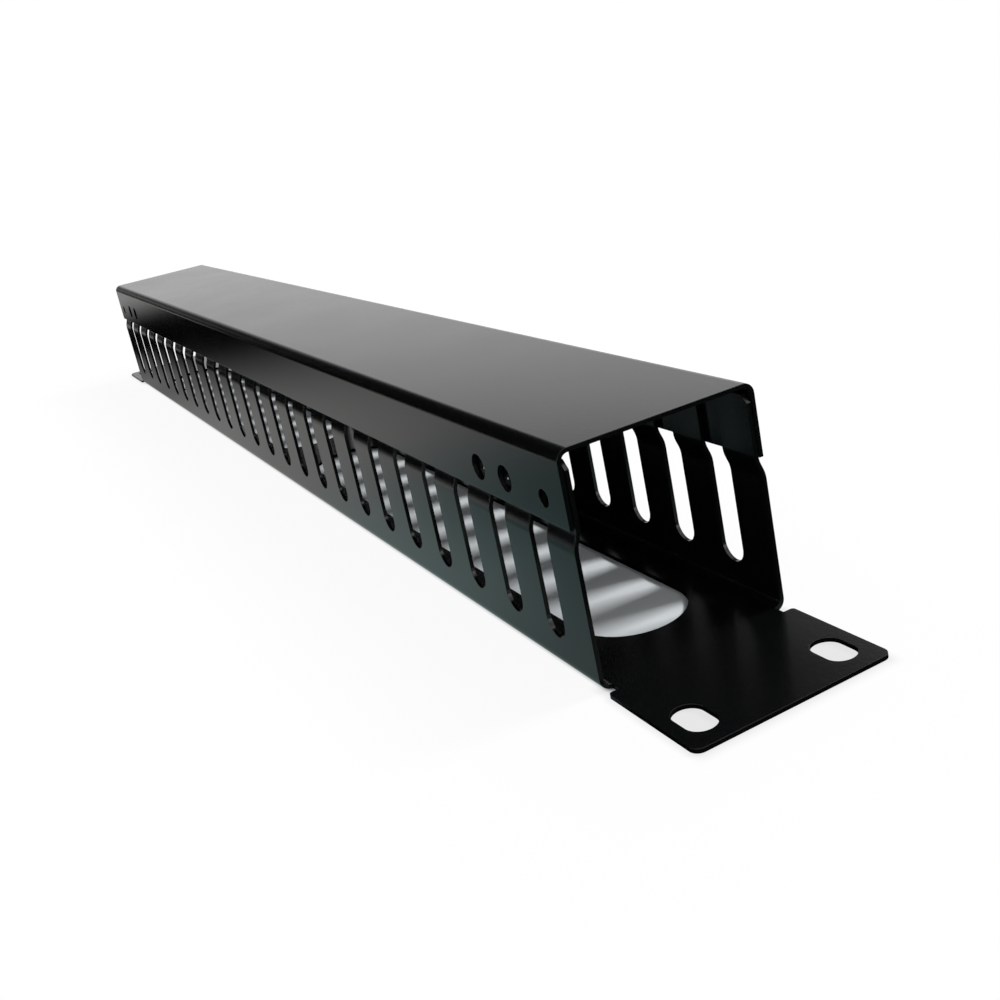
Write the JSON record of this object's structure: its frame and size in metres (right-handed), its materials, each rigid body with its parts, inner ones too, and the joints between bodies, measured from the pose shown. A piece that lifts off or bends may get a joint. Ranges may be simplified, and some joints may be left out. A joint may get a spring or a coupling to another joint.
{
  "type": "horizontal cable manager",
  "caption": "Rack-mount horizontal cable manager: slotted steel finger channel with ears, open ends, back-panel cut-outs and a lift-off cover.",
  "frame": {"origin": "middle of the back panel's rear face, the plane that meets the rack's rails", "axes": "+X along the rack unit, from ear to ear; +Y across it, up in the rack; +Z away from the rack, out of the back panel and through the cover"},
  "size_m": [0.4826, 0.044, 0.048],
  "materials": {
    "channel_paint": "fine-textured satin black powder coat on folded steel sheet",
    "cover_paint": "fine-textured satin black powder coat on folded steel sheet"
  },
  "bodies": {
    "channel": {"channel": "channel_paint"},
    "cover": {"cover": "cover_paint"}
  },
  "joints": [
    {"name": "cover_lift", "type": "slide", "parent": "channel", "child": "cover", "axis": [0, 0, 1], "range_m": [0, 0.05]}
  ]
}
